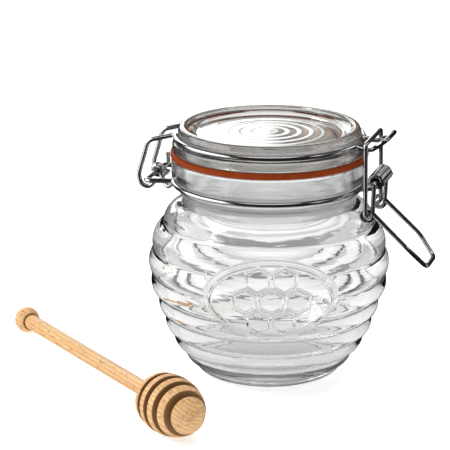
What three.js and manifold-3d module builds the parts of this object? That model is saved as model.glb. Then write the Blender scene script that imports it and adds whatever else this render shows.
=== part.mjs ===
// Clip-top glass honey pot with a wooden dipper lying beside it. Millimetres, +Z up.
// The origin is the middle of the jar's flat base, +X is the latch side and -X the hinge side.
import * as THREE from 'three';
import { mergeVertices } from 'three/addons/utils/BufferGeometryUtils.js';
import Module from 'manifold-3d';

const wasm = await Module();
wasm.setup();

const { cos, sin, sqrt, PI, hypot, atan2 } = Math;
const radians = THREE.MathUtils.degToRad;
const MERGE = 1e-4;

// Jar: ribs are round bulges between notches, listed as [radius, height] from the base up
const BASE_RADIUS = 23.8;
const BASE_CORNER = [25.6, 1.6];
const NOTCHES = [
  [31.8, 5.7], [35.7, 11.2], [40.5, 18.2], [43.7, 26.4],
  [46.4, 34.4], [49.4, 44.4], [49.2, 55.1], [44.9, 66.8],
];
const RIB_BULGE = 1.9;
const RIB_STEPS = 3;
const JAR_SIDES = 44;
const NECK_RADIUS = 36.9;
const NECK_LOW = 75.4;
const NECK_HIGH = 78.5;
const GROOVE_RADIUS = 38.9;
const GROOVE_HIGH = 85.6;
const GROOVE_RUN = 3;
const COLLAR_RADIUS = 41.2;
const COLLAR_TOP = 94.8;
const COLLAR_EDGE = 0.8;
const MOUTH_RADIUS = 34.5;
const WALL = 3.2;
const FLOOR = 5.5;

// Raised oval panel on the front, turned a little from square to the latch
const PANEL_TURN = 16.7;
const PANEL_HALF_WIDTH = 27.7;
const PANEL_HALF_HEIGHT = 16.8;
const PANEL_CENTRE = 46.6;
const PANEL_SIDES = 24;
const PANEL_RISE = 2.5;

// Seal and lid, with a clear gap where they rest on each other
const GAP = 0.3;
const SEAL_INNER = 35;
const SEAL_OUTER = 41.6;
const SEAL_HEIGHT = 2.2;
const SEAL_ROUND = 0.5;
const LID_RADIUS = 40.8;
const LID_EDGE = 0.6;
const FLANGE_HEIGHT = 3;
const LID_TOP = 108;
const LID_GROOVE_RADIUS = 38;
const LID_RIM_RADIUS = 37.6;
const LID_DISH_RADIUS = 32;
const LID_RIM_WIDTH = 2;
const LID_DISH_DEPTH = 3.2;
const LID_GROOVE_HALF = 1.2;
const PLUG_RADIUS = 31.8;
const PLUG_WIDTH = 2.3;
const PLUG_DEPTH = 2.6;
const PLUG_SLANT = 1.2;
const LID_SIDES = 44;

// Wires
const HEAVY_WIRE = 1.1;
const LIGHT_WIRE = 1;
const WIRE_SIDES = 8;
const FINE_STEP = 2.2;
const LONG_STEP = 3.4;
const TIGHT_BEND = 2;
const WIDE_BEND = 3;
const HANDLE_BEND = 2.6;
const HANDLE_STEP = 2.8;
const BEND_SHARE = 0.45;
const RING_SIDES = 40;
const EYE_SIDES = 12;
const NECK_RING = { radius: 40.4, height: 84.2 };
const LID_RING = { radius: 39.5, height: 103.4 };

// Latch: the lever turns on the neck wire's eyes, and the bail on the lever's loops
const PIVOT = { x: 47.9, z: 89.2 };
const LEVER_ARM = 14.2;
const OVER_CENTRE = 12;
const BAIL_TOP = { x: 44.6, z: 106 };
const EYE_RADIUS = 2.55;
const EYE_PLACES = [4.6, 6.55, 8.5];
const LEVER_PLANE = 11.3;
const LOOP_RADIUS = 2.45;
const BAIL_PLANE = 13.9;
const PIN_LENGTH = 5;
const KNEE = { x: 62.7, y: 11.8, z: 62.4 };
const HANDLE_END = { x: 69.8, y: 7.6, z: 54.2 };
const LOOP = {
  x: PIVOT.x - LEVER_ARM * sin(radians(OVER_CENTRE)),
  z: PIVOT.z - LEVER_ARM * cos(radians(OVER_CENTRE)),
};

// Front tongue and rear arms of the lid wire, and the neck wire's rear bar
const TONGUE_HALF = 8.5;
const TONGUE_CROOK = { from: 42.3, to: 45.8, z: 102.4 };
const TONGUE_TIP = { x: 52, z: 107 };
const ARM_PLANE = 10;
const ARM_CORNER = { x: -50.2, z: 100.2 };
const ARM_FOOT = { x: -54.6, z: 85.2 };
const HINGE = { x: -50.9, z: 83.4 };
const HOOK_RADIUS = 3.3;
const HOOK_FROM = 200;
const HOOK_TO = 340;
const HOOK_STEPS = 3;
const REAR_BAR_HALF = 13.4;

// Dipper, measured along its own axis from the domed end of the head
const DIPPER_HEAD = { x: -16.8, y: -85.3 };
const DIPPER_KNOB = { x: -117.4, y: 16.6 };
const HEAD_RADIUS = 12.2;
const HEAD_HALF_LENGTH = 21;
const CAP_LENGTH = 4.9;
const CAP_STEPS = 5;
const CAP_CROWDING = 1.9;
const DISC = 3.4;
const SLOT = 3;
const SLOT_COUNT = 4;
const SLOT_DEPTH = 3.8;
const SLOT_DRAFT = 0.3;
const STEM_AT_HEAD = 3.15;
const STEM_AT_KNOB = 3.3;
const KNOB_RADIUS = 5.6;
const KNOB_STEPS = 6;
const KNOB_NECK = 0.22;
const DIPPER_SIDES = 20;

function solidOf(geometry) {
  const bare = geometry.clone();
  bare.deleteAttribute('normal');
  bare.deleteAttribute('uv');
  const merged = mergeVertices(bare, MERGE);
  return new wasm.Manifold(new wasm.Mesh({
    numProp: 3,
    vertProperties: new Float32Array(merged.attributes.position.array),
    triVerts: new Uint32Array(merged.index.array),
  }));
}

function geometryOf(solid) {
  const mesh = solid.getMesh();
  const geometry = new THREE.BufferGeometry();
  geometry.setAttribute('position', new THREE.BufferAttribute(mesh.vertProperties, 3));
  geometry.setIndex(new THREE.BufferAttribute(mesh.triVerts, 1));
  geometry.computeVertexNormals();
  return geometry;
}

function join(geometries) {
  return geometries.map(solidOf).reduce((whole, next) => whole.add(next));
}

// A turned body about +Z from [radius, height] points that run upwards on the outside
function turned(points, sides) {
  const outline = points.map(([r, z]) => new THREE.Vector2(r, z));
  return new THREE.LatheGeometry(outline, sides).rotateX(PI / 2);
}

// Points of a round bulge between two outline points, without the first
function bulge([r0, z0], [r1, z1], rise, steps) {
  const chord = hypot(r1 - r0, z1 - z0);
  const points = [];
  for (let i = 1; i <= steps; i += 1) {
    const t = i / steps;
    const lift = rise * 4 * t * (1 - t);
    points.push([
      r0 + (r1 - r0) * t + (lift * (z1 - z0)) / chord,
      z0 + (z1 - z0) * t - (lift * (r1 - r0)) / chord,
    ]);
  }
  return points;
}

// A round wire along straight runs with rounded corners
function wire(points, radius, corner, spacing) {
  const places = points.map(([x, y, z]) => new THREE.Vector3(x, y, z));
  const path = new THREE.CurvePath();
  let from = places[0];
  for (let i = 1; i < places.length - 1; i += 1) {
    const before = places[i - 1].clone().sub(places[i]);
    const after = places[i + 1].clone().sub(places[i]);
    const cut = Math.min(corner, before.length() * BEND_SHARE, after.length() * BEND_SHARE);
    const start = places[i].clone().add(before.setLength(cut));
    const end = places[i].clone().add(after.setLength(cut));
    path.add(new THREE.LineCurve3(from, start));
    path.add(new THREE.QuadraticBezierCurve3(start, places[i], end));
    from = end;
  }
  path.add(new THREE.LineCurve3(from, places[places.length - 1]));
  const section = new THREE.Shape();
  for (let i = 0; i < WIRE_SIDES; i += 1) {
    const angle = (2 * PI * i) / WIRE_SIDES;
    const move = i === 0 ? 'moveTo' : 'lineTo';
    section[move](radius * cos(angle), radius * sin(angle));
  }
  const steps = Math.ceil(path.getLength() / spacing);
  return new THREE.ExtrudeGeometry(section, { steps, extrudePath: path });
}

function ring({ radius, height }, thickness) {
  return new THREE.TorusGeometry(radius, thickness, WIRE_SIDES, RING_SIDES).translate(0, 0, height);
}

// A small wire loop whose axis runs along Y
function eye(x, y, z, radius, thickness) {
  const loop = new THREE.TorusGeometry(radius, thickness, WIRE_SIDES, EYE_SIDES);
  return loop.rotateX(PI / 2).translate(x, y, z);
}

const both = (make) => [-1, 1].flatMap(make);

// How far along X a ring reaches at a distance from its middle plane
const reachAt = (radius, y) => sqrt(radius ** 2 - y ** 2);

function jarOutline() {
  const points = [[0, 0], [BASE_RADIUS, 0], BASE_CORNER];
  let last = BASE_CORNER;
  for (const notch of NOTCHES) {
    points.push(...bulge(last, notch, RIB_BULGE, RIB_STEPS));
    last = notch;
  }
  points.push(...bulge(last, [NECK_RADIUS, NECK_LOW], RIB_BULGE, RIB_STEPS));
  points.push(
    [NECK_RADIUS, NECK_HIGH],
    [GROOVE_RADIUS, NECK_HIGH + GROOVE_RUN],
    [GROOVE_RADIUS, GROOVE_HIGH],
    [COLLAR_RADIUS, GROOVE_HIGH + COLLAR_EDGE],
    [COLLAR_RADIUS, COLLAR_TOP - COLLAR_EDGE],
    [COLLAR_RADIUS - COLLAR_EDGE, COLLAR_TOP],
    [0, COLLAR_TOP],
  );
  return points;
}

function jarInside() {
  const points = [[0, FLOOR], [BASE_RADIUS - 1, FLOOR]];
  for (const [r, z] of NOTCHES.slice(1)) {
    points.push([r - WALL, z]);
  }
  points.push([MOUTH_RADIUS, NECK_LOW]);
  points.push([MOUTH_RADIUS, COLLAR_TOP + 1], [0, COLLAR_TOP + 1]);
  return points;
}

// The panel follows a smooth barrel over the ribs, cut to an oval
function panel() {
  const barrel = [[0, 0], ...NOTCHES.map(([r, z]) => [r + PANEL_RISE, z]), [0, NECK_LOW]];
  const oval = new THREE.Shape();
  oval.absellipse(0, 0, PANEL_HALF_WIDTH, PANEL_HALF_HEIGHT, 0, 2 * PI);
  const depth = PANEL_HALF_WIDTH;
  const block = new THREE.ExtrudeGeometry(oval, { depth, bevelEnabled: false, curveSegments: PANEL_SIDES });
  block.rotateX(PI / 2).translate(0, -NECK_RADIUS, PANEL_CENTRE).rotateZ(radians(PANEL_TURN));
  return solidOf(turned(barrel, JAR_SIDES)).intersect(solidOf(block));
}

function jar() {
  const outside = solidOf(turned(jarOutline(), JAR_SIDES));
  return geometryOf(outside.add(panel()).subtract(solidOf(turned(jarInside(), JAR_SIDES))));
}

function seal() {
  const low = COLLAR_TOP + GAP;
  const high = low + SEAL_HEIGHT;
  const middle = (low + high) / 2;
  return turned([
    [SEAL_INNER, low], [SEAL_OUTER - SEAL_ROUND, low], [SEAL_OUTER, middle],
    [SEAL_OUTER - SEAL_ROUND, high], [SEAL_INNER, high], [SEAL_INNER, low],
  ], LID_SIDES);
}

function lid() {
  const low = COLLAR_TOP + SEAL_HEIGHT + 2 * GAP;
  const dish = LID_TOP - LID_DISH_DEPTH;
  const plug = PLUG_RADIUS - PLUG_WIDTH;
  const grooveLow = LID_RING.height - LID_GROOVE_HALF;
  const grooveHigh = LID_RING.height + LID_GROOVE_HALF;
  return turned([
    [0, low + PLUG_SLANT], [plug - PLUG_WIDTH, low + PLUG_SLANT],
    [plug, low - PLUG_DEPTH], [PLUG_RADIUS, low - PLUG_DEPTH], [PLUG_RADIUS + PLUG_SLANT, low],
    [LID_RADIUS - LID_EDGE, low], [LID_RADIUS, low + LID_EDGE], [LID_RADIUS, low + FLANGE_HEIGHT],
    [LID_RADIUS - LID_EDGE, grooveLow - LID_EDGE], [LID_GROOVE_RADIUS, grooveLow],
    [LID_GROOVE_RADIUS, grooveHigh], [LID_GROOVE_RADIUS + LID_EDGE, grooveHigh + LID_EDGE],
    [LID_RIM_RADIUS + LID_EDGE, LID_TOP - LID_EDGE], [LID_RIM_RADIUS, LID_TOP],
    [LID_RIM_RADIUS - LID_RIM_WIDTH, LID_TOP - LID_EDGE / 2],
    [LID_DISH_RADIUS + LID_RIM_WIDTH, dish + 2 * LID_EDGE], [LID_DISH_RADIUS, dish + LID_EDGE],
    [LID_DISH_RADIUS - LID_EDGE, dish], [0, dish],
  ], LID_SIDES);
}

function neckWire() {
  const { radius, height } = NECK_RING;
  const run = (side) => [
    [-reachAt(radius, REAR_BAR_HALF), side * REAR_BAR_HALF, height], [HINGE.x, side * REAR_BAR_HALF, HINGE.z],
  ];
  const bracket = wire([...run(-1), ...run(1).reverse()], HEAVY_WIRE, WIDE_BEND, LONG_STEP);
  const eyeAt = (y) => eye(PIVOT.x, y, PIVOT.z, EYE_RADIUS, LIGHT_WIRE);
  const eyes = both((side) => EYE_PLACES.map((y) => eyeAt(side * y)));
  const prongs = both((side) => {
    const y = side * EYE_PLACES[0];
    return [wire([
      [reachAt(radius, y), y, height], [PIVOT.x - EYE_RADIUS / 2, y, height],
      [PIVOT.x + EYE_RADIUS / 2, y, PIVOT.z - EYE_RADIUS],
    ], LIGHT_WIRE, TIGHT_BEND, FINE_STEP)];
  });
  return geometryOf(join([ring(NECK_RING, HEAVY_WIRE), bracket, ...eyes, ...prongs]));
}

function lidWire() {
  const { radius, height } = LID_RING;
  const root = reachAt(radius, TONGUE_HALF);
  const crook = TONGUE_CROOK;
  const run = (y) => [
    [root, y, height], [crook.from, y, crook.z], [crook.to, y, crook.z], [TONGUE_TIP.x, y, TONGUE_TIP.z],
  ];
  const tongueRoute = [...run(-TONGUE_HALF), ...run(TONGUE_HALF).reverse()];
  const tongue = wire(tongueRoute, HEAVY_WIRE, TIGHT_BEND, FINE_STEP);
  const back = reachAt(radius, ARM_PLANE);
  const arms = both((side) => {
    const y = side * ARM_PLANE;
    const hook = [];
    for (let i = 0; i <= HOOK_STEPS; i += 1) {
      const angle = radians(HOOK_FROM + ((HOOK_TO - HOOK_FROM) * i) / HOOK_STEPS);
      hook.push([HINGE.x + HOOK_RADIUS * cos(angle), y, HINGE.z + HOOK_RADIUS * sin(angle)]);
    }
    return [wire([
      [-back, y, height], [ARM_CORNER.x, y, ARM_CORNER.z], [ARM_FOOT.x, y, ARM_FOOT.z], ...hook,
    ], HEAVY_WIRE, TIGHT_BEND, LONG_STEP)];
  });
  return geometryOf(join([ring(LID_RING, HEAVY_WIRE), tongue, ...arms]));
}

function bail() {
  const pin = BAIL_PLANE - PIN_LENGTH;
  const run = (side) => [
    [LOOP.x, side * pin, LOOP.z], [LOOP.x, side * BAIL_PLANE, LOOP.z],
    [BAIL_TOP.x, side * BAIL_PLANE, BAIL_TOP.z],
  ];
  return wire([...run(-1), ...run(1).reverse()], LIGHT_WIRE, TIGHT_BEND, FINE_STEP);
}

function lever() {
  const loops = both((side) => [eye(LOOP.x, side * LEVER_PLANE, LOOP.z, LOOP_RADIUS, LIGHT_WIRE)]);
  const away = atan2(PIVOT.z - LOOP.z, PIVOT.x - LOOP.x);
  const pin = LEVER_PLANE - PIN_LENGTH - LIGHT_WIRE;
  const arms = both((side) => [wire([
    [PIVOT.x, side * pin, PIVOT.z], [PIVOT.x, side * LEVER_PLANE, PIVOT.z],
    [LOOP.x + LOOP_RADIUS * cos(away), side * LEVER_PLANE, LOOP.z + LOOP_RADIUS * sin(away)],
  ], LIGHT_WIRE, TIGHT_BEND, FINE_STEP)]);
  const run = (side) => [
    [LOOP.x + LOOP_RADIUS * cos(PI / 4), side * LEVER_PLANE, LOOP.z - LOOP_RADIUS * sin(PI / 4)],
    [KNEE.x, side * KNEE.y, KNEE.z], [HANDLE_END.x, side * HANDLE_END.y, HANDLE_END.z],
  ];
  const handle = wire([...run(-1), ...run(1).reverse()], LIGHT_WIRE, HANDLE_BEND, HANDLE_STEP);
  return geometryOf(join([handle, ...loops, ...arms]));
}

// Radius of the head's egg-shaped outline at a distance along the dipper from the domed end
function headRadius(along) {
  const t = (along - HEAD_HALF_LENGTH) / HEAD_HALF_LENGTH;
  return HEAD_RADIUS * sqrt(Math.max(0, 1 - t ** 2));
}

function dipper() {
  const points = [[0, 0]];
  for (let i = 1; i <= CAP_STEPS; i += 1) {
    const along = CAP_LENGTH * (i / CAP_STEPS) ** CAP_CROWDING;
    points.push([headRadius(along), along]);
  }
  let along = CAP_LENGTH;
  for (let i = 0; i < SLOT_COUNT; i += 1) {
    const bottom = headRadius(along + SLOT / 2) - SLOT_DEPTH;
    points.push([bottom, along + SLOT_DRAFT], [bottom, along + SLOT - SLOT_DRAFT]);
    along += SLOT;
    points.push([headRadius(along), along], [headRadius(along + DISC), along + DISC]);
    along += DISC;
  }
  const reach = hypot(DIPPER_KNOB.x - DIPPER_HEAD.x, DIPPER_KNOB.y - DIPPER_HEAD.y);
  const knob = HEAD_HALF_LENGTH + reach;
  const neck = knob - KNOB_RADIUS * cos(PI * KNOB_NECK);
  points.push([STEM_AT_HEAD, along + SLOT_DRAFT], [STEM_AT_KNOB, neck - SLOT_DRAFT]);
  for (let i = 0; i < KNOB_STEPS; i += 1) {
    const angle = PI * (KNOB_NECK + ((1 - KNOB_NECK) * i) / KNOB_STEPS);
    points.push([KNOB_RADIUS * sin(angle), knob - KNOB_RADIUS * cos(angle)]);
  }
  points.push([0, knob + KNOB_RADIUS]);
  const shape = turned(points, DIPPER_SIDES);
  const slope = atan2(HEAD_RADIUS - KNOB_RADIUS, reach);
  const heading = atan2(DIPPER_KNOB.y - DIPPER_HEAD.y, DIPPER_KNOB.x - DIPPER_HEAD.x);
  shape.translate(0, 0, -HEAD_HALF_LENGTH).rotateY(PI / 2 + slope).rotateZ(heading);
  shape.computeBoundingBox();
  return shape.translate(DIPPER_HEAD.x, DIPPER_HEAD.y, -shape.boundingBox.min.z);
}

const GLASS = { color: 0xe9efee, roughness: 0.05, metalness: 0 };
const RUBBER = { color: 0xb4501c, roughness: 0.6, metalness: 0 };
const STEEL = { color: 0xc4c6c8, roughness: 0.15, metalness: 1 };
const BEECH = { color: 0xdcb07a, roughness: 0.6, metalness: 0 };

const pot = new THREE.Group();
for (const [name, geometry, look] of [
  ['jar', jar(), GLASS],
  ['seal', seal(), RUBBER],
  ['lid', lid(), GLASS],
  ['neck_wire', neckWire(), STEEL],
  ['lid_wire', lidWire(), STEEL],
  ['lever', lever(), STEEL],
  ['bail', bail(), STEEL],
  ['dipper', dipper(), BEECH],
]) {
  const mesh = new THREE.Mesh(geometry, new THREE.MeshStandardMaterial(look));
  mesh.name = name;
  pot.add(mesh);
}

export default pot;
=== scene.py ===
# Clip-top glass honey pot with a turned beech dipper, dressed around its solid model
import math

import bmesh
import bpy
from mathutils import Euler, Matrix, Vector


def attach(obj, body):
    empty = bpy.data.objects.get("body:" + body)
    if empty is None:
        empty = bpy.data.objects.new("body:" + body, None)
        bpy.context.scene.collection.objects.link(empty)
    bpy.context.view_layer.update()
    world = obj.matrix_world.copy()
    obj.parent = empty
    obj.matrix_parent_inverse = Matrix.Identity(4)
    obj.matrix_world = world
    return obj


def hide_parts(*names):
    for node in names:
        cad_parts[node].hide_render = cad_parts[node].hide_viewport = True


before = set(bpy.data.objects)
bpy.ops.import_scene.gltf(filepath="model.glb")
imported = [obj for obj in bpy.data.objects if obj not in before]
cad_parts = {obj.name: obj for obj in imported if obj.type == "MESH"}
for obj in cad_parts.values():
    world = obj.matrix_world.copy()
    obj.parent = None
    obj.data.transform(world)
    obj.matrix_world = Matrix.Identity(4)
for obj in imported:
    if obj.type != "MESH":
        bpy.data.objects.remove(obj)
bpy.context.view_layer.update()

# Sizes are in millimetres unless a comment says otherwise. An OUTLINE holds (radius, height) points, and a
# ROUND is how far the rounding of a corner reaches and its number of steps. Edges sharper than a CREASE, in
# degrees, stay sharp.
MM = 0.001
MERGE = 0.01 * MM
TAU = 2 * math.pi
LONGEST_CUT = 0.45
NEARLY_STRAIGHT = math.radians(12)

# Jar
BASE_RING = (21, 24)
BASE_HOLLOW = 0.9
BASE_CORNER = (25.6, 1.6)
BASE_OUTLINE = [
    (0, BASE_HOLLOW), (17.5, BASE_HOLLOW), (BASE_RING[0], 0), (BASE_RING[1], 0), BASE_CORNER,
]
BASE_ROUND = (1.6, 5)
KNURLS = 48
KNURL_DEPTH = 0.22
NOTCHES = [
    (31.8, 5.7), (35.7, 11.2), (40.5, 18.2), (43.7, 26.4),
    (46.4, 34.4), (49.4, 44.4), (49.2, 55.1), (44.9, 66.8),
]
BODY_RADIUS = 49.4
RIB_BULGE = 1.9
RIB_SHARE = 0.19
RIB_STEPS = 14
WIDEST = 51
NECK_RADIUS = 36.9
NECK_LOW = 75.4
NECK_HIGH = 78.5
BARREL_OUTLINE = [BASE_CORNER, *NOTCHES, (NECK_RADIUS, NECK_LOW)]
GROOVE_RADIUS = 38.9
GROOVE_LOW = 81.5
GROOVE_HIGH = 85.6
COLLAR_RADIUS = 41.2
COLLAR_LOW = 86.2
COLLAR_TOP = 94.8
MOUTH_RADIUS = 34.5
COLLAR_OUTLINE = [
    (NECK_RADIUS, NECK_LOW), (NECK_RADIUS, NECK_HIGH), (GROOVE_RADIUS, GROOVE_LOW),
    (GROOVE_RADIUS, GROOVE_HIGH), (COLLAR_RADIUS, COLLAR_LOW), (COLLAR_RADIUS, COLLAR_TOP),
    (MOUTH_RADIUS, COLLAR_TOP), (MOUTH_RADIUS, NECK_HIGH), (MOUTH_RADIUS, NECK_LOW),
]
COLLAR_ROUND = (1.2, 5)
WALL = 3.2
WALL_STEPS = 72
INSIDE_TOP = 73.4
WELL_TOP = 8.4
WELL_OUTLINE = [(27, 6), (21, 5.5), (0, 4.7)]
WELL_ROUND = (6, 7)
JAR_SIDES = 192
GLASS_CREASE = 50

# Oval panel with a plain border and honeycomb cells. Its edge, the reaches and the border's place and width
# are shares of the oval.
PANEL_TURN = math.radians(16.7)
PANEL_HALF_WIDTH = 27.7
PANEL_HALF_HEIGHT = 16.8
PANEL_CENTRE = 46.6
PANEL_RISE = 2.4
PANEL_EDGE = (0.99, 1.015)
PANEL_REACH = 1.1
SPLIT_REACH = 1.12
SPLIT_CUTS = 3
BORDER_RISE = 0.6
BORDER_PLACE = 0.92
BORDER_WIDTH = 0.03
CELL_PITCH = 10.4
CELL_ROW = CELL_PITCH * math.sqrt(0.75)
CELL_HALF = CELL_PITCH * 0.44
CELL_LINE = (0.18, 0.675)
CELL_RISE = 0.9
CELL_REACH = 0.66
CELL_ROWS = range(-2, 3)
CELL_COLUMNS = range(-4, 5)
CELL_SIDES = [k * math.pi / 3 for k in range(3)]

# Seal
SEAL_INNER = 33.6
SEAL_OUTER = 41.6
SEAL_LOW = COLLAR_TOP + 0.1
SEAL_HIGH = 97.4
SEAL_MIDDLE = (SEAL_LOW + SEAL_HIGH) / 2
SEAL_OUTLINE = [
    (SEAL_INNER, SEAL_MIDDLE), (SEAL_INNER, SEAL_LOW), (SEAL_OUTER, SEAL_LOW),
    (SEAL_OUTER, SEAL_HIGH), (SEAL_INNER, SEAL_HIGH), (SEAL_INNER, SEAL_MIDDLE),
]
SEAL_ROUND = (0.9, 6)
SEAL_CREASE = 60

# Lid, from the middle of its underside round to the edge of its dish, and the rings pressed into the dish
PLUG_RADIUS = 31.8
PLUG_LOW = 95
LID_RADIUS = 40.8
LID_LOW = 97.6
LID_TOP = 108
LID_GROOVE_RADIUS = 38
DISH_RADIUS = 30
DISH_LEVEL = 104.8
LID_OUTLINE = [
    (0, 98.8), (27, 98.8), (29.5, PLUG_LOW), (PLUG_RADIUS, PLUG_LOW), (33, LID_LOW),
    (LID_RADIUS, LID_LOW), (LID_RADIUS, 101.5), (LID_GROOVE_RADIUS, 102.2), (LID_GROOVE_RADIUS, 104.6),
    (38.6, 105.4), (37.8, LID_TOP), (35.2, LID_TOP),
    (34.2, 106.3), (32, 105.7), (31, DISH_LEVEL), (DISH_RADIUS, DISH_LEVEL),
]
LID_ROUND = (1.1, 6)
DISH_DOME = 0.55
RIPPLES = 6
RIPPLE_DEPTH = 0.06
RIPPLE_STEPS = 72
LID_SIDES = 160

# Wires, with the latch at +X and the hinge at -X. A WIRE is its radius and a RING its radius and height.
# Planes, halves, pins, SPRING_COIL and the eyes' inner and outer limits are along Y, and places are (x, z)
# or (x, y, z).
HEAVY_WIRE = 1.1
LIGHT_WIRE = 1.0
WIRE_FIT = 0.95
WIRE_ROUNDNESS = 5
WIRE_CREASE = 60
ARC_STEP = 4
NECK_RING = (40.4, 84.2)
LID_RING = (39.5, 103.4)
PIVOT = (47.9, 89.2)
LOOP = (44.9477, 75.3103)
EYE_RADIUS = 2.55
EYE_INNER = 4.5
EYE_OUTER = 8.6
EYE_TURNS = 8
EYE_STEPS = 24
PRONG_BEND = (45.4, 84.9)
PRONG_ROUND = (2, 6)
LEVER_PLANE = 11.3
LEVER_PIN = 6
LOOP_RADIUS = 2.45
LOOP_DEGREES = range(0, -307, -9)
KNEE = (62.7, -11.8, 62.4)
HANDLE_END = (69.8, -7.6, 54.2)
LEVER_ROUND = (2.6, 10)
BAIL_PLANE = 13.9
BAIL_PIN = 5
BAIL_TOP = (44.6, 106)
BAIL_ROUND = (2.2, 8)
TONGUE_HALF = 8.5
TONGUE_POINTS = [(42.3, 102.4), (45.8, 102.4), (52, 107)]
ARM_PLANE = 10
ARM_POINTS = [(-54.6, 85.2), (-50.2, 100.2)]
HINGE = (-50.9, 83.4)
HOOK_RADIUS = 3.3
HOOK_DEGREES = range(340, 195, -14)
LID_WIRE_ROUND = (2.6, 8)
REAR_BAR_HALF = 13.4
REAR_BAR_ROUND = (3, 8)
SPRING_TAIL = [(-47.8, 8.6, 90.4), (-47.3, 8.2, 86)]
SPRING_COIL = (3.4, 7.4)
SPRING_RADIUS = 2.2
SPRING_START = math.radians(40)
SPRING_TURNS = 2.2
SPRING_STEPS = 32
SPRING_LOOP = [(-47.4, 2, 79.4), (-45.4, 0.5, 77.4), (-43, -1, 78.8), (-41.2, -2, 82.6)]
SPRING_ROUND = (1.6, 5)

# Dipper, along its own axis from the domed end, with the places of its head and knob on the ground
DIPPER_HEAD = (-16.8, -85.3)
DIPPER_KNOB = (-117.4, 16.6)
HEAD_RADIUS = 12.15
HEAD_HALF_LENGTH = 21
CAP_LENGTH = 4.9
CAP_STEPS = 18
CAP_CROWDING = 1.9
DISC = 3.4
DISC_STEPS = 3
SLOT = 3
SLOT_COUNT = 4
SLOT_DEPTH = 3.8
SLOT_DRAFT = 0.25
SLOT_ROUND = (0.35, 4)
STEM_AT_HEAD = 3.15
STEM_AT_KNOB = 3.3
COVE_START = 2
COVE_LENGTH = 0.5
COVE_DEPTH = 0.35
KNOB_RADIUS = 5.6
KNOB_STEPS = 20
KNOB_NECK = 0.22
DIPPER_SIDES = 96
DIPPER_CREASE = 40

# Where the glass is blurred, and where painted shade darkens the wood in its grooves and beside the knob
BASE_BLUR = 2.2
MOUTH_BLUR_HEIGHTS = (NECK_LOW - 8, NECK_LOW)
WELL_BLUR_HEIGHTS = (9, 17)
PLUG_BLUR_RADII = (PLUG_RADIUS, PLUG_RADIUS + 3)
PLUG_BLUR_HEIGHTS = (LID_LOW + 1.5, LID_LOW + 2)
SLOT_SHADE_DEPTHS = (0.02, 0.45)
COVE_SHADE_REACH = (0.1, 0.6)

# Finishes. A SPREAD takes a pattern from one range to another, MARKS are a scale, a depth and a stretch, and
# a GRAIN is a stretch, a scale and a detail. Scales are for each metre, and RING_CENTRE is in metres.
EVEN = (1, 1, 1)
MARK_DETAIL = 3
MARK_HEIGHT = 0.3
GLASS_IOR = 1.5
INNER_ROUGHNESS = 0.18
GLASS_ROUGHNESS_SPREAD = (0.3, 0.8, 0, 0.035)
JAR_TINT = (0.94, 0.95, 0.945, 1)
JAR_MARKS = (45, 0.75, (0.7, 0.7, 3.5))
LID_TINT = (0.74, 0.73, 0.7, 1)
LID_MARKS = (60, 0.2, EVEN)
WIRE_COLOUR = (0.5, 0.5, 0.51, 1)
WIRE_MARKS = (900, 0.06, EVEN)
WIRE_ROUGHNESS_SPREAD = (0.3, 0.7, 0.06, 0.2)
RUBBER_DARK = (0.16, 0.019, 0.001, 1)
RUBBER_LIGHT = (0.28, 0.043, 0.002, 1)
RUBBER_GLOSS = 0.1
RUBBER_MARKS = (260, 0.25, EVEN)
RUBBER_ROUGHNESS_SPREAD = (0.3, 0.7, 0.42, 0.6)
RING_CENTRE = (0.014, 0.006, 0)
RING_SCALE = 200
RING_WANDER = 1.6
RING_DETAIL = 1.5
RING_DARK = (0.61, 0.36, 0.155, 1)
RING_LIGHT = (0.74, 0.49, 0.25, 1)
STREAK_GRAIN = ((1, 1, 0.06), 420, 4)
STREAK_SPREAD = (0.4, 0.75, 0, 0.6)
STREAK_COLOUR = (0.52, 0.26, 0.09, 1)
FLECK_GRAIN = ((1, 1, 0.3), 1050, 1)
FLECK_SPREAD = (0.58, 0.7, 0, 0.65)
FLECK_COLOUR = (0.4, 0.15, 0.045, 1)
# Colour of the painted shade in the grooves and beside the knob
GROOVE_SHADE_COLOUR = (0.18, 0.072, 0.016, 1)
BEECH_ROUGHNESS_SPREAD = (0.3, 0.7, 0.45, 0.62)
BEECH_BUMP = 0.18
BEECH_BUMP_HEIGHT = 0.2

# Camera, fitted to the photograph's circles
CAMERA_TURN = math.radians(16.686)
CAMERA_PITCH = math.radians(16.2226)
CAMERA_SIDE = -18.636
CAMERA_BACK = -962.26
CAMERA_HEIGHT = 344.28
CAMERA_LENS = 189.36
SENSOR = 36

# Room: bands of (place, brightness) from below to above, one set to look through to and one that the
# glass mirrors within itself, and the bright panels that glossy faces mirror, each with its side, depth
# and height limits as seen from the camera, its colour and the softness of its edges
HEIGHT_BANDS = [
    (0.49, 1), (0.5, 0.65), (0.55, 0.65), (0.6, 1), (0.68, 1), (0.72, 0.55), (0.8, 0.55), (0.85, 1),
]
INNER_BANDS = [(0, 0.6), (0.42, 0.7), (0.52, 0.45), (0.6, 0.5), (0.75, 0.85), (1, 1)]
WORLD_STRENGTH = 0.75
DIFFUSE_SHARE = 0.7
MIRROR_BASE = (0.03, 0.03, 0.03)
MIRROR_PANELS = [
    ((-0.5, 0.025), (0.6, 1.1), (0.12, 0.5), (5, 5, 5), 0.015),
    ((0.07, 0.17), (0.85, 1.1), (0.18, 0.45), (1.5, 0.85, 0.4), 0.03),
    ((-1.1, -0.72), (-0.6, 0.5), (0.1, 0.75), (4.5, 4.5, 4.5), 0.04),
    ((0.62, 0.8), (-0.5, 0.6), (0.05, 0.6), (4, 4, 4), 0.04),
    ((-1.1, -0.5), (-0.65, 0.4), (-0.55, 0.06), (2.2, 2.2, 2.2), 0.04),
    ((0.6, 1.1), (-0.1, 0.35), (-0.55, 0.01), (1.1, 1.1, 1.1), 0.04),
    ((-0.35, 0.35), (-0.5, 0.1), (0.85, 1.1), (2.5, 2.5, 2.5), 0.04),
]
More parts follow.
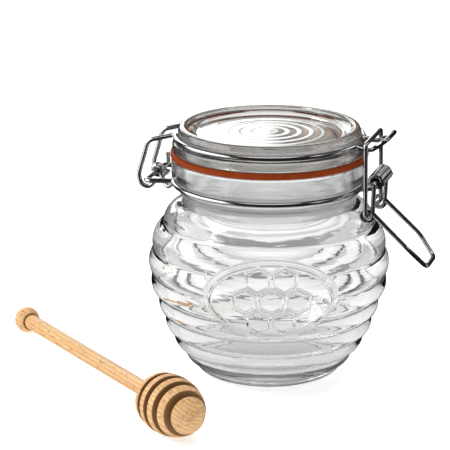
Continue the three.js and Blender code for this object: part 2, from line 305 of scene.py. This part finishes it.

# Floor, with bands of painted shadow as (share of the reach, brightness) where it is seen through the glass
FLOOR_SIZE = 6000
FLOOR_DROP = 0.2
FLOOR_WHITE = (0.97, 0.97, 0.97, 1)
BLACK = (0, 0, 0, 1)
FLOOR_ROUGHNESS = 0.9
FLOOR_GLOW = 0.6
# Painted shadow: darker round the jar's foot and again far behind it
FLOOR_SHADOW_BANDS = [(0.07, 0.6), (0.35, 1), (0.62, 1), (0.8, 0.62)]
FLOOR_THROUGH = 1.14
FLOOR_REACH = 320

# Lamps, in metres: name, place, size and power in watts, and the place that they face
LAMPS = [
    ("overhead", (0.1, 0.2, 1.1), (0.9, 0.7), 6),
    ("left_window", (-0.9, -0.45, 0.9), (0.5, 0.6), 10),
]
LAMP_TARGET = (0, 0, 0.06)


def deselect():
    bpy.ops.object.select_all(action="DESELECT")


def pick(piece):
    deselect()
    piece.select_set(True)
    bpy.context.view_layer.objects.active = piece


def smoothstep(low, high, value):
    t = min(1, max(0, (value - low) / (high - low)))
    return t * t * (3 - 2 * t)


# Turned pieces

def trace(name, points):
    """A vertex drawn along an outline of (radius, height) points."""
    deselect()
    bpy.ops.mesh.primitive_plane_add(size=MM)
    piece = bpy.context.object
    piece.name = name
    piece.data.name = name
    places = [Vector((r * MM, 0, z * MM)) for r, z in points]
    bpy.ops.object.mode_set(mode="EDIT")
    bpy.ops.mesh.select_mode(type="VERT")
    bpy.ops.mesh.select_all(action="SELECT")
    bpy.ops.mesh.merge(type="CENTER")
    bpy.ops.transform.translate(value=places[0])
    for before, after in zip(places, places[1:]):
        bpy.ops.mesh.extrude_vertices_move(TRANSFORM_OT_translate={"value": after - before})
    return piece


def turn(piece, sides):
    """Spins the traced outline into a closed body."""
    bpy.ops.mesh.select_all(action="SELECT")
    bpy.ops.mesh.spin(steps=sides, angle=TAU, center=(0, 0, 0), axis=(0, 0, 1))
    bpy.ops.mesh.select_all(action="SELECT")
    bpy.ops.mesh.remove_doubles(threshold=MERGE)
    bpy.ops.mesh.normals_make_consistent(inside=False)
    bpy.ops.object.mode_set(mode="OBJECT")
    return piece


def smooth(piece, crease):
    pick(piece)
    bpy.ops.object.shade_smooth_by_angle(angle=math.radians(crease))


def bulge(start, end, rise):
    """Points of a round rib between two notches, without the first."""
    dr = end[0] - start[0]
    dz = end[1] - start[1]
    chord = math.hypot(dr, dz)
    points = []
    for i in range(1, RIB_STEPS + 1):
        t = i / RIB_STEPS
        lift = rise * 4 * t * (1 - t)
        points.append((start[0] + dr * t + lift * dz / chord, start[1] + dz * t - lift * dr / chord))
    return points


def rounded(points, corner, steps):
    """An outline or a route with its corners rounded."""
    places = [Vector(p) for p in points]
    out = [places[0]]
    for before, here, after in zip(places, places[1:], places[2:]):
        back = before - here
        on = after - here
        if back.angle(-on, 0) < NEARLY_STRAIGHT:
            out.append(here)
            continue
        cut = min(corner, back.length * LONGEST_CUT, on.length * LONGEST_CUT)
        start = here + back.normalized() * cut
        end = here + on.normalized() * cut
        for i in range(steps + 1):
            t = i / steps
            out.append(start * (1 - t) ** 2 + here * 2 * t * (1 - t) + end * t ** 2)
    out.append(places[-1])
    return [tuple(p) for p in out]


def barrel_radius(z):
    """Radius of the smooth barrel that runs through the notches."""
    points = BARREL_OUTLINE
    for i, ((r0, z0), (r1, z1)) in enumerate(zip(points, points[1:])):
        if z0 <= z <= z1:
            before = points[max(0, i - 1)]
            after = points[min(len(points) - 1, i + 2)]
            rise = (z1 - z0) * (r1 - before[0]) / (z1 - before[1])
            fall = (z1 - z0) * (after[0] - r0) / (after[1] - z0)
            t = (z - z0) / (z1 - z0)
            bend = t * (1 - t) * ((1 - t) * (rise - r1 + r0) - t * (fall - r1 + r0))
            return r0 + (r1 - r0) * t + bend
    return NECK_RADIUS


def jar_outline():
    """The jar's section, from the middle of its base up the outside and down the smooth inside."""
    outside = []
    for low, high in zip(BARREL_OUTLINE, BARREL_OUTLINE[1:]):
        room = WIDEST - (low[0] + high[0]) / 2
        outside += bulge(low, high, min(RIB_BULGE, RIB_SHARE * math.dist(low, high), room))
    heights = [INSIDE_TOP + (WELL_TOP - INSIDE_TOP) * i / WALL_STEPS for i in range(WALL_STEPS + 1)]
    inside = [(barrel_radius(z) - WALL, z) for z in heights]
    base = rounded(BASE_OUTLINE, *BASE_ROUND)
    collar = rounded(COLLAR_OUTLINE, *COLLAR_ROUND)
    well = rounded([inside[-1], *WELL_OUTLINE], *WELL_ROUND)
    return base + outside + collar[1:] + inside + well[1:]


def cell_line(u, v):
    """Height of the honeycomb lines at a place on the panel, from 0 to 1."""
    best = 0
    for row in CELL_ROWS:
        for column in CELL_COLUMNS:
            cu = (column + 0.5 * (row % 2)) * CELL_PITCH
            cv = row * CELL_ROW
            if math.hypot(cu / PANEL_HALF_WIDTH, cv / PANEL_HALF_HEIGHT) > CELL_REACH:
                continue
            reach = max(abs((u - cu) * math.cos(side) + (v - cv) * math.sin(side)) for side in CELL_SIDES)
            best = max(best, 1 - smoothstep(*CELL_LINE, abs(reach - CELL_HALF)))
    return best


def panel_place(co):
    """Arc length, height and oval distance of a place on the jar, seen from the panel's middle."""
    angle = math.atan2(co.x, -co.y) - PANEL_TURN
    angle = (angle + math.pi) % TAU - math.pi
    u = angle * BODY_RADIUS
    v = co.z / MM - PANEL_CENTRE
    return u, v, math.hypot(u / PANEL_HALF_WIDTH, v / PANEL_HALF_HEIGHT)


def on_outside(co):
    return math.hypot(co.x, co.y) / MM > barrel_radius(co.z / MM) - WALL / 2


def split_panel(piece):
    """Splits the faces under the oval so that its border and cells are crisp."""
    bpy.ops.object.mode_set(mode="EDIT")
    bpy.ops.mesh.select_mode(type="FACE")
    bpy.ops.mesh.select_all(action="DESELECT")
    mesh = bmesh.from_edit_mesh(piece.data)
    for face in mesh.faces:
        co = face.calc_center_median()
        face.select = on_outside(co) and panel_place(co)[2] < SPLIT_REACH
    bmesh.update_edit_mesh(piece.data)
    bpy.ops.mesh.subdivide(number_cuts=SPLIT_CUTS)
    bpy.ops.object.mode_set(mode="OBJECT")


def raise_panel(piece):
    """Lifts the oval off the ribs, with its border and cells."""
    for vertex in piece.data.vertices:
        co = vertex.co
        if not on_outside(co):
            continue
        u, v, oval = panel_place(co)
        if oval > PANEL_REACH:
            continue
        radius = math.hypot(co.x, co.y)
        face = 1 - smoothstep(*PANEL_EDGE, oval)
        barrel = (barrel_radius(co.z / MM) + PANEL_RISE) * MM
        border = BORDER_RISE * math.exp(-((oval - BORDER_PLACE) / BORDER_WIDTH) ** 2)
        cells = CELL_RISE * cell_line(u, v) if oval < BORDER_PLACE else 0
        wanted = radius + (barrel - radius) * face + (border + cells) * MM
        co.x *= wanted / radius
        co.y *= wanted / radius


def knurl_base(piece):
    """Presses small dashes into the ring that the jar stands on."""
    for vertex in piece.data.vertices:
        co = vertex.co
        radius = math.hypot(co.x, co.y) / MM
        if co.z < BASE_HOLLOW * MM and radius > BASE_RING[0]:
            wave = math.sin(KNURLS * math.atan2(co.y, co.x)) * 0.5 + 0.5
            co.z += KNURL_DEPTH * wave * smoothstep(*BASE_RING, radius) * MM


def mark(piece, name, value_at):
    """Stores a value for each point, which the finish reads."""
    layer = piece.data.attributes.new(name, "FLOAT", "POINT")
    for vertex, item in zip(piece.data.vertices, layer.data):
        item.value = value_at(vertex.co)


def jar_blur(co):
    """The mouth and the well are pressed less smoothly than the outside, and the base is stippled."""
    height = co.z / MM
    if height < BASE_CORNER[1]:
        return BASE_BLUR
    if on_outside(co):
        return 0
    return smoothstep(*MOUTH_BLUR_HEIGHTS, height) + 1 - smoothstep(*WELL_BLUR_HEIGHTS, height)


def lid_blur(co):
    """The plug's underside is pressed less smoothly than the rest of the lid."""
    inner = 1 - smoothstep(*PLUG_BLUR_RADII, math.hypot(co.x, co.y) / MM)
    return inner * (1 - smoothstep(*PLUG_BLUR_HEIGHTS, co.z / MM))


def make_jar():
    piece = turn(trace("jar_glass", jar_outline()), JAR_SIDES)
    split_panel(piece)
    raise_panel(piece)
    knurl_base(piece)
    mark(piece, "blur", jar_blur)
    smooth(piece, GLASS_CREASE)
    return piece


def make_lid():
    outline = rounded(LID_OUTLINE, *LID_ROUND)
    for i in range(1, RIPPLE_STEPS + 1):
        t = i / RIPPLE_STEPS
        wave = RIPPLE_DEPTH * math.sin(TAU * RIPPLES * t) * math.sin(math.pi * t)
        outline.append((DISH_RADIUS * (1 - t), DISH_LEVEL + DISH_DOME * t + wave))
    piece = turn(trace("lid_glass", outline), LID_SIDES)
    mark(piece, "blur", lid_blur)
    smooth(piece, GLASS_CREASE)
    return piece


def make_seal():
    piece = turn(trace("seal_rubber", rounded(SEAL_OUTLINE, *SEAL_ROUND)), LID_SIDES)
    smooth(piece, SEAL_CREASE)
    return piece


# Wires

def arc(radius, height, start, end):
    """A level arc round the jar's axis, between two angles in degrees."""
    count = round(abs(end - start) / ARC_STEP)
    angles = [math.radians(start + (end - start) * i / count) for i in range(count + 1)]
    return [(radius * math.cos(a), radius * math.sin(a), height) for a in angles]


def loop_round(centre, radius, angle, y):
    """A point on an upright loop round an (x, z) centre."""
    return centre[0] + radius * math.cos(angle), y, centre[1] + radius * math.sin(angle)


def across(route):
    """A route followed by its mirror image, on the far side of the latch."""
    return route + [(x, -y, z) for x, y, z in reversed(route)]


def make_wire(name, routes, thickness):
    deselect()
    bpy.ops.curve.primitive_bezier_curve_add()
    piece = bpy.context.object
    piece.name = name
    curve = piece.data
    curve.name = name
    curve.splines.clear()
    curve.dimensions = "3D"
    curve.bevel_depth = thickness * MM
    curve.bevel_resolution = WIRE_ROUNDNESS
    curve.use_fill_caps = True
    for route, closed in routes:
        spline = curve.splines.new("POLY")
        spline.points.add(len(route) - 1)
        spline.use_cyclic_u = closed
        for point, (x, y, z) in zip(spline.points, route):
            point.co = (x * MM, y * MM, z * MM, 1)
    bpy.ops.object.convert(target="MESH")
    smooth(piece, WIRE_CREASE)
    return piece


def hinge_spring():
    """The wire end that stands up behind the jar, coils round the bar and loops back under the ring."""
    near, far = SPRING_COIL
    coil = []
    for i in range(SPRING_STEPS + 1):
        t = i / SPRING_STEPS
        angle = SPRING_START - SPRING_TURNS * TAU * t
        coil.append(loop_round(HINGE, SPRING_RADIUS, angle, far + (near - far) * t))
    return SPRING_TAIL + coil + SPRING_LOOP


def latch_coil():
    """The tight coil that the lever's pins turn in."""
    steps = EYE_TURNS * EYE_STEPS
    coil = []
    for i in range(steps + 1):
        t = i / steps
        coil.append(loop_round(PIVOT, EYE_RADIUS, EYE_TURNS * TAU * t, EYE_OUTER * (2 * t - 1)))
    return coil


def make_neck_wire():
    radius, height = NECK_RING
    ring = arc(radius, height, 0, 360)[:-1]
    rear = math.sqrt(radius ** 2 - REAR_BAR_HALF ** 2)
    bracket = across([(-rear, -REAR_BAR_HALF, height), (HINGE[0], -REAR_BAR_HALF, HINGE[1])])
    routes = [(ring, True), (rounded(bracket, *REAR_BAR_ROUND), False), (latch_coil(), False)]
    front = math.sqrt(radius ** 2 - EYE_INNER ** 2)
    for y in (-EYE_INNER, EYE_INNER):
        places = [(front, height), PRONG_BEND, (PIVOT[0], PIVOT[1] - EYE_RADIUS)]
        prong = [(x, y, z) for x, z in places]
        routes.append((rounded(prong, *PRONG_ROUND), False))
    routes.append((rounded(hinge_spring(), *SPRING_ROUND), False))
    return make_wire("neck_wire_steel", routes, HEAVY_WIRE * WIRE_FIT)


def make_lid_wire():
    radius, height = LID_RING
    tongue_angle = math.degrees(math.asin(TONGUE_HALF / radius))
    arm_angle = math.degrees(math.asin(ARM_PLANE / radius))
    hook = [loop_round(HINGE, HOOK_RADIUS, math.radians(d), -ARM_PLANE) for d in HOOK_DEGREES]
    arm = [(x, -ARM_PLANE, z) for x, z in ARM_POINTS]
    side = arc(radius, height, 180 + arm_angle, 360 - tongue_angle)
    tongue = [(x, -TONGUE_HALF, z) for x, z in TONGUE_POINTS]
    route = rounded(across(hook + arm + side + tongue), *LID_WIRE_ROUND)
    return make_wire("lid_wire_steel", [(route, False)], HEAVY_WIRE * WIRE_FIT)


def make_bail():
    x, z = LOOP
    route = [(x, -BAIL_PLANE + BAIL_PIN, z), (x, -BAIL_PLANE, z), (BAIL_TOP[0], -BAIL_PLANE, BAIL_TOP[1])]
    return make_wire("bail_steel", [(rounded(across(route), *BAIL_ROUND), False)], LIGHT_WIRE)


def make_lever():
    x, z = PIVOT
    route = [(x, -LEVER_PLANE + LEVER_PIN, z), (x, -LEVER_PLANE, z)]
    route += [loop_round(LOOP, LOOP_RADIUS, math.radians(d), -LEVER_PLANE) for d in LOOP_DEGREES]
    route += [KNEE, HANDLE_END]
    return make_wire("lever_steel", [(rounded(across(route), *LEVER_ROUND), False)], LIGHT_WIRE)


# Dipper

def head_radius(along):
    t = (along - HEAD_HALF_LENGTH) / HEAD_HALF_LENGTH
    return HEAD_RADIUS * math.sqrt(max(0, 1 - t ** 2))


def dipper_reach():
    """Distance from the middle of the head to the middle of the knob."""
    return math.hypot(DIPPER_KNOB[0] - DIPPER_HEAD[0], DIPPER_KNOB[1] - DIPPER_HEAD[1])


def dipper_turn():
    """The turn that lays the dipper on its head and its knob."""
    slope = math.atan2(HEAD_RADIUS - KNOB_RADIUS, dipper_reach())
    heading = math.atan2(DIPPER_KNOB[1] - DIPPER_HEAD[1], DIPPER_KNOB[0] - DIPPER_HEAD[0])
    return Euler((0, math.pi / 2 + slope, heading), "XYZ")


def head_length():
    return CAP_LENGTH + SLOT_COUNT * (SLOT + DISC)


def knob_neck():
    return HEAD_HALF_LENGTH + dipper_reach() - KNOB_RADIUS * math.cos(math.pi * KNOB_NECK)


def dipper_outline():
    cap = [(0, 0)]
    for i in range(1, CAP_STEPS + 1):
        along = CAP_LENGTH * (i / CAP_STEPS) ** CAP_CROWDING
        cap.append((head_radius(along), along))
    along = CAP_LENGTH
    discs = []
    for _ in range(SLOT_COUNT):
        bottom = head_radius(along + SLOT / 2) - SLOT_DEPTH
        discs += [(bottom, along + SLOT_DRAFT), (bottom, along + SLOT - SLOT_DRAFT)]
        along += SLOT
        edge = [along + DISC * k / DISC_STEPS for k in range(DISC_STEPS + 1)]
        discs += [(head_radius(place), place) for place in edge]
        along += DISC
    neck = knob_neck()
    stem = [
        (STEM_AT_HEAD, along + SLOT_DRAFT), (STEM_AT_KNOB, neck - COVE_START),
        (STEM_AT_KNOB, neck - COVE_LENGTH), (STEM_AT_KNOB - COVE_DEPTH, neck),
    ]
    knob = HEAD_HALF_LENGTH + dipper_reach()
    ball = []
    for i in range(KNOB_STEPS):
        angle = math.pi * (KNOB_NECK + (1 - KNOB_NECK) * i / KNOB_STEPS)
        ball.append((KNOB_RADIUS * math.sin(angle), knob - KNOB_RADIUS * math.cos(angle)))
    ball.append((0, knob + KNOB_RADIUS))
    edges = rounded([*cap[-2:], *discs, *stem, ball[0]], *SLOT_ROUND)
    return cap[:-2] + edges + ball[1:]


def groove_shade_at(co):
    """Painted shade on the wood, growing with depth in the grooves and with nearness to the knob's neck."""
    along = co.z / MM
    if CAP_LENGTH < along < head_length():
        depth = head_radius(along) - math.hypot(co.x, co.y) / MM
        return smoothstep(*SLOT_SHADE_DEPTHS, depth)
    return 1 - smoothstep(*COVE_SHADE_REACH, abs(along - knob_neck()))


def make_dipper():
    """The dipper, and the place on the ground that its head's middle has come to."""
    piece = turn(trace("dipper_beech", dipper_outline()), DIPPER_SIDES)
    # Stores the painted shade for the grooves and beside the knob
    mark(piece, "groove", groove_shade_at)
    pick(piece)
    piece.location = (0, 0, -HEAD_HALF_LENGTH * MM)
    bpy.ops.object.transform_apply(location=True, rotation=False, scale=False)
    piece.rotation_euler = dipper_turn()
    bpy.ops.object.transform_apply(location=False, rotation=True, scale=False)
    lowest = min(vertex.co.z for vertex in piece.data.vertices)
    place = Vector((DIPPER_HEAD[0] * MM, DIPPER_HEAD[1] * MM, -lowest))
    piece.location = place
    bpy.ops.object.transform_apply(location=True, rotation=False, scale=False)
    smooth(piece, DIPPER_CREASE)
    return piece, place


# Nodes

def feed(tree, socket, value):
    """Links a node's output to a socket, or sets a plain value on it."""
    if isinstance(value, bpy.types.NodeSocket):
        tree.links.new(value, socket)
    else:
        socket.default_value = value


def map_range(tree, source, low, high, to_low, to_high):
    node = tree.nodes.new("ShaderNodeMapRange")
    node.inputs["From Min"].default_value = low
    node.inputs["From Max"].default_value = high
    node.inputs["To Min"].default_value = to_low
    node.inputs["To Max"].default_value = to_high
    tree.links.new(source, node.inputs["Value"])
    return node.outputs["Result"]


def mix_colour(tree, factor, first, second):
    node = tree.nodes.new("ShaderNodeMix")
    node.data_type = "RGBA"
    tree.links.new(factor, node.inputs["Factor"])
    feed(tree, node.inputs["A"], first)
    feed(tree, node.inputs["B"], second)
    return node.outputs["Result"]


def multiply(tree, first, second):
    node = tree.nodes.new("ShaderNodeMath")
    node.operation = "MULTIPLY"
    tree.links.new(first, node.inputs[0])
    tree.links.new(second, node.inputs[1])
    return node.outputs["Value"]


def ramp(tree, source, stops):
    """Grey bands, each given by its place from 0 to 1 and its brightness."""
    node = tree.nodes.new("ShaderNodeValToRGB")
    elements = node.color_ramp.elements
    while len(elements) < len(stops):
        elements.new(1)
    for element, (place, value) in zip(elements, stops):
        element.position = place
        element.color = (value, value, value, 1)
    tree.links.new(source, node.inputs["Fac"])
    return node.outputs["Color"]


def stored(tree, name):
    """The value that a piece's points hold under a name."""
    node = tree.nodes.new("ShaderNodeAttribute")
    node.attribute_name = name
    return node.outputs["Fac"]


# Finishes

def new_material(name):
    material = bpy.data.materials.new(name)
    material.use_nodes = True
    tree = material.node_tree
    return material, tree, tree.nodes["Principled BSDF"]


def unevenness_group():
    """Slow waviness and fine specks that pressed, drawn and moulded surfaces share."""
    group = bpy.data.node_groups.new("unevenness", "ShaderNodeTree")
    face = group.interface
    face.new_socket("Scale", in_out="INPUT", socket_type="NodeSocketFloat")
    face.new_socket("Depth", in_out="INPUT", socket_type="NodeSocketFloat")
    face.new_socket("Stretch", in_out="INPUT", socket_type="NodeSocketVector")
    face.new_socket("Normal", in_out="OUTPUT", socket_type="NodeSocketVector")
    face.new_socket("Mask", in_out="OUTPUT", socket_type="NodeSocketFloat")
    nodes = group.nodes
    links = group.links
    inside = nodes.new("NodeGroupInput")
    outside = nodes.new("NodeGroupOutput")
    place = nodes.new("ShaderNodeTexCoord")
    squeeze = nodes.new("ShaderNodeMapping")
    noise = nodes.new("ShaderNodeTexNoise")
    noise.inputs["Detail"].default_value = MARK_DETAIL
    bump = nodes.new("ShaderNodeBump")
    bump.inputs["Distance"].default_value = MARK_HEIGHT * MM
    links.new(place.outputs["Object"], squeeze.inputs["Vector"])
    links.new(inside.outputs["Stretch"], squeeze.inputs["Scale"])
    links.new(squeeze.outputs["Vector"], noise.inputs["Vector"])
    links.new(inside.outputs["Scale"], noise.inputs["Scale"])
    links.new(inside.outputs["Depth"], bump.inputs["Strength"])
    links.new(noise.outputs["Fac"], bump.inputs["Height"])
    links.new(bump.outputs["Normal"], outside.inputs["Normal"])
    links.new(noise.outputs["Fac"], outside.inputs["Mask"])
    return group


def add_unevenness(tree, shader, group, marks):
    """Bends a finish's normals with the shared unevenness, and gives the pattern behind it."""
    node = tree.nodes.new("ShaderNodeGroup")
    node.node_tree = group
    for name, value in zip(("Scale", "Depth", "Stretch"), marks):
        node.inputs[name].default_value = value
    tree.links.new(node.outputs["Normal"], shader.inputs["Normal"])
    return node.outputs["Mask"]


def glass(name, group, tint, marks):
    material, tree, shader = new_material(name)
    shader.inputs["Base Color"].default_value = tint
    shader.inputs["Transmission Weight"].default_value = 1
    shader.inputs["IOR"].default_value = GLASS_IOR
    pattern = add_unevenness(tree, shader, group, marks)
    rough = tree.nodes.new("ShaderNodeMath")
    rough.operation = "MULTIPLY_ADD"
    rough.inputs[1].default_value = INNER_ROUGHNESS
    tree.links.new(stored(tree, "blur"), rough.inputs[0])
    tree.links.new(map_range(tree, pattern, *GLASS_ROUGHNESS_SPREAD), rough.inputs[2])
    tree.links.new(rough.outputs["Value"], shader.inputs["Roughness"])
    return material


def steel(group):
    material, tree, shader = new_material("bright_wire")
    shader.inputs["Base Color"].default_value = WIRE_COLOUR
    shader.inputs["Metallic"].default_value = 1
    pattern = add_unevenness(tree, shader, group, WIRE_MARKS)
    tree.links.new(map_range(tree, pattern, *WIRE_ROUGHNESS_SPREAD), shader.inputs["Roughness"])
    return material


def rubber(group):
    material, tree, shader = new_material("orange_rubber")
    shader.inputs["Specular IOR Level"].default_value = RUBBER_GLOSS
    pattern = add_unevenness(tree, shader, group, RUBBER_MARKS)
    tree.links.new(mix_colour(tree, pattern, RUBBER_DARK, RUBBER_LIGHT), shader.inputs["Base Color"])
    tree.links.new(map_range(tree, pattern, *RUBBER_ROUGHNESS_SPREAD), shader.inputs["Roughness"])
    return material


def beech(place):
    """Wood whose rings, streaks and flecks follow the dipper's own axis."""
    material, tree, shader = new_material("turned_beech")
    links = tree.links
    nodes = tree.nodes
    coordinates = nodes.new("ShaderNodeTexCoord")
    axis = nodes.new("ShaderNodeMapping")
    axis.vector_type = "TEXTURE"
    axis.inputs["Location"].default_value = place
    axis.inputs["Rotation"].default_value = dipper_turn()
    links.new(coordinates.outputs["Object"], axis.inputs["Vector"])

    def grain(stretch, scale, detail):
        squeeze = nodes.new("ShaderNodeMapping")
        squeeze.inputs["Scale"].default_value = stretch
        links.new(axis.outputs["Vector"], squeeze.inputs["Vector"])
        noise = nodes.new("ShaderNodeTexNoise")
        noise.inputs["Scale"].default_value = scale
        noise.inputs["Detail"].default_value = detail
        links.new(squeeze.outputs["Vector"], noise.inputs["Vector"])
        return noise.outputs["Fac"]

    shift = nodes.new("ShaderNodeMapping")
    shift.inputs["Location"].default_value = RING_CENTRE
    links.new(axis.outputs["Vector"], shift.inputs["Vector"])
    rings = nodes.new("ShaderNodeTexWave")
    rings.wave_type = "RINGS"
    rings.rings_direction = "Z"
    rings.inputs["Scale"].default_value = RING_SCALE
    rings.inputs["Distortion"].default_value = RING_WANDER
    rings.inputs["Detail Scale"].default_value = RING_DETAIL
    links.new(shift.outputs["Vector"], rings.inputs["Vector"])

    streaks = grain(*STREAK_GRAIN)
    flecks = grain(*FLECK_GRAIN)
    tone = mix_colour(tree, rings.outputs["Fac"], RING_DARK, RING_LIGHT)
    tone = mix_colour(tree, map_range(tree, streaks, *STREAK_SPREAD), tone, STREAK_COLOUR)
    tone = mix_colour(tree, map_range(tree, flecks, *FLECK_SPREAD), tone, FLECK_COLOUR)
    # Painted shade in the grooves and beside the knob
    tone = mix_colour(tree, stored(tree, "groove"), tone, GROOVE_SHADE_COLOUR)
    links.new(tone, shader.inputs["Base Color"])
    links.new(map_range(tree, streaks, *BEECH_ROUGHNESS_SPREAD), shader.inputs["Roughness"])
    bump = nodes.new("ShaderNodeBump")
    bump.inputs["Strength"].default_value = BEECH_BUMP
    bump.inputs["Distance"].default_value = BEECH_BUMP_HEIGHT * MM
    links.new(streaks, bump.inputs["Height"])
    links.new(bump.outputs["Normal"], shader.inputs["Normal"])
    return material


def dress(piece, material, body, slot, *nodes):
    piece.data.materials.clear()
    piece.data.materials.append(material)
    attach(piece, body)
    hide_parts(*nodes)


# Studio

def make_floor():
    """A pale ground that hides from mirrors, with bands of painted shadow where it is seen through the
    glass.
    """
    deselect()
    bpy.ops.mesh.primitive_plane_add(size=FLOOR_SIZE * MM, location=(0, 0, -FLOOR_DROP * MM))
    floor = bpy.context.object
    floor.name = "floor"
    material, tree, shader = new_material("pale_floor")
    shader.inputs["Roughness"].default_value = FLOOR_ROUGHNESS
    length = tree.nodes.new("ShaderNodeVectorMath")
    length.operation = "LENGTH"
    tree.links.new(tree.nodes.new("ShaderNodeTexCoord").outputs["Object"], length.inputs[0])
    # Painted shadow on the floor seen through the glass, darker round the jar's foot and far behind it
    shade = ramp(tree, map_range(tree, length.outputs["Value"], 0, FLOOR_REACH * MM, 0, 1), FLOOR_SHADOW_BANDS)
    through = tree.nodes.new("ShaderNodeLightPath").outputs["Is Transmission Ray"]
    tree.links.new(mix_colour(tree, through, FLOOR_WHITE, BLACK), shader.inputs["Base Color"])
    tree.links.new(mix_colour(tree, through, FLOOR_WHITE, shade), shader.inputs["Emission Color"])
    strength = map_range(tree, through, 0, 1, FLOOR_GLOW, FLOOR_THROUGH)
    tree.links.new(strength, shader.inputs["Emission Strength"])
    floor.data.materials.append(material)
    floor.visible_glossy = False


def make_lamp(name, place, size, power):
    deselect()
    bpy.ops.object.light_add(type="AREA", location=place)
    lamp = bpy.context.object
    lamp.name = name
    lamp.data.shape = "RECTANGLE"
    lamp.data.size, lamp.data.size_y = size
    lamp.data.energy = power
    lamp.visible_glossy = False
    lamp.rotation_euler = (Vector(LAMP_TARGET) - Vector(place)).to_track_quat("-Z", "Y").to_euler()


def soft_span(tree, source, span, softness):
    """A mask that is 1 between two limits, with soft edges."""
    low, high = span
    rise = map_range(tree, source, low - softness, low + softness, 0, 1)
    fall = map_range(tree, source, high - softness, high + softness, 1, 0)
    return multiply(tree, rise, fall)


def facing(tree, way, direction):
    node = tree.nodes.new("ShaderNodeVectorMath")
    node.operation = "DOT_PRODUCT"
    node.inputs[1].default_value = direction
    tree.links.new(way, node.inputs[0])
    return node.outputs["Value"]


def add_tinted(tree, total, amount, colour):
    node = tree.nodes.new("ShaderNodeVectorMath")
    node.operation = "MULTIPLY_ADD"
    tree.links.new(amount, node.inputs[0])
    node.inputs[1].default_value = colour
    feed(tree, node.inputs[2], total)
    return node.outputs["Vector"]


def make_world():
    """A white room to look through, and a dark one with bright panels for glossy faces to mirror."""
    world = bpy.data.worlds.new("studio_room")
    bpy.context.scene.world = world
    world.use_nodes = True
    tree = world.node_tree
    way = tree.nodes.new("ShaderNodeTexCoord").outputs["Generated"]
    c = math.cos(CAMERA_TURN)
    s = math.sin(CAMERA_TURN)
    side = facing(tree, way, (c, s, 0))
    depth = facing(tree, way, (-s, c, 0))
    height = facing(tree, way, (0, 0, 1))
    mirrored = MIRROR_BASE
    for side_span, depth_span, height_span, colour, softness in MIRROR_PANELS:
        panel = soft_span(tree, side, side_span, softness)
        panel = multiply(tree, panel, soft_span(tree, depth, depth_span, softness))
        panel = multiply(tree, panel, soft_span(tree, height, height_span, softness))
        mirrored = add_tinted(tree, mirrored, panel, colour)
    upward = map_range(tree, height, -1, 1, 0, 1)
    path = tree.nodes.new("ShaderNodeLightPath")
    within = map_range(tree, path.outputs["Transmission Depth"], 0, 1, 0, 1)
    mirror = mix_colour(tree, within, mirrored, ramp(tree, upward, INNER_BANDS))
    colour = mix_colour(tree, path.outputs["Is Glossy Ray"], ramp(tree, upward, HEIGHT_BANDS), mirror)
    back = tree.nodes["Background"]
    tree.links.new(colour, back.inputs["Color"])
    fill = WORLD_STRENGTH * DIFFUSE_SHARE
    strength = map_range(tree, path.outputs["Is Diffuse Ray"], 0, 1, WORLD_STRENGTH, fill)
    tree.links.new(strength, back.inputs["Strength"])


def make_studio():
    make_world()
    make_floor()
    for lamp in LAMPS:
        make_lamp(*lamp)
    bpy.context.scene.view_settings.view_transform = "Standard"


def make_camera():
    c = math.cos(CAMERA_TURN)
    s = math.sin(CAMERA_TURN)
    x = (CAMERA_SIDE * c - CAMERA_BACK * s) * MM
    y = (CAMERA_SIDE * s + CAMERA_BACK * c) * MM
    deselect()
    bpy.ops.object.camera_add(
        location=(x, y, CAMERA_HEIGHT * MM), rotation=(math.pi / 2 - CAMERA_PITCH, 0, CAMERA_TURN)
    )
    camera = bpy.context.object
    camera.data.sensor_width = SENSOR
    camera.data.lens = CAMERA_LENS
    bpy.context.scene.camera = camera


make_camera()
make_studio()
uneven = unevenness_group()
wire_finish = steel(uneven)
jar_finish = glass("jar_clear_glass", uneven, JAR_TINT, JAR_MARKS)
lid_finish = glass("lid_clear_glass", uneven, LID_TINT, LID_MARKS)
dress(make_jar(), jar_finish, "pot", "jar_glass", "jar")
dress(make_lid(), lid_finish, "pot", "lid_glass", "lid")
dress(make_seal(), rubber(uneven), "pot", "seal_rubber", "seal")
dress(make_neck_wire(), wire_finish, "pot", "wire", "neck_wire")
dress(make_lid_wire(), wire_finish, "pot", "wire", "lid_wire")
dress(make_lever(), wire_finish, "lever", "wire", "lever")
dress(make_bail(), wire_finish, "bail", "wire", "bail")
dipper, dipper_place = make_dipper()
dress(dipper, beech(dipper_place), "pot", "beech", "dipper")
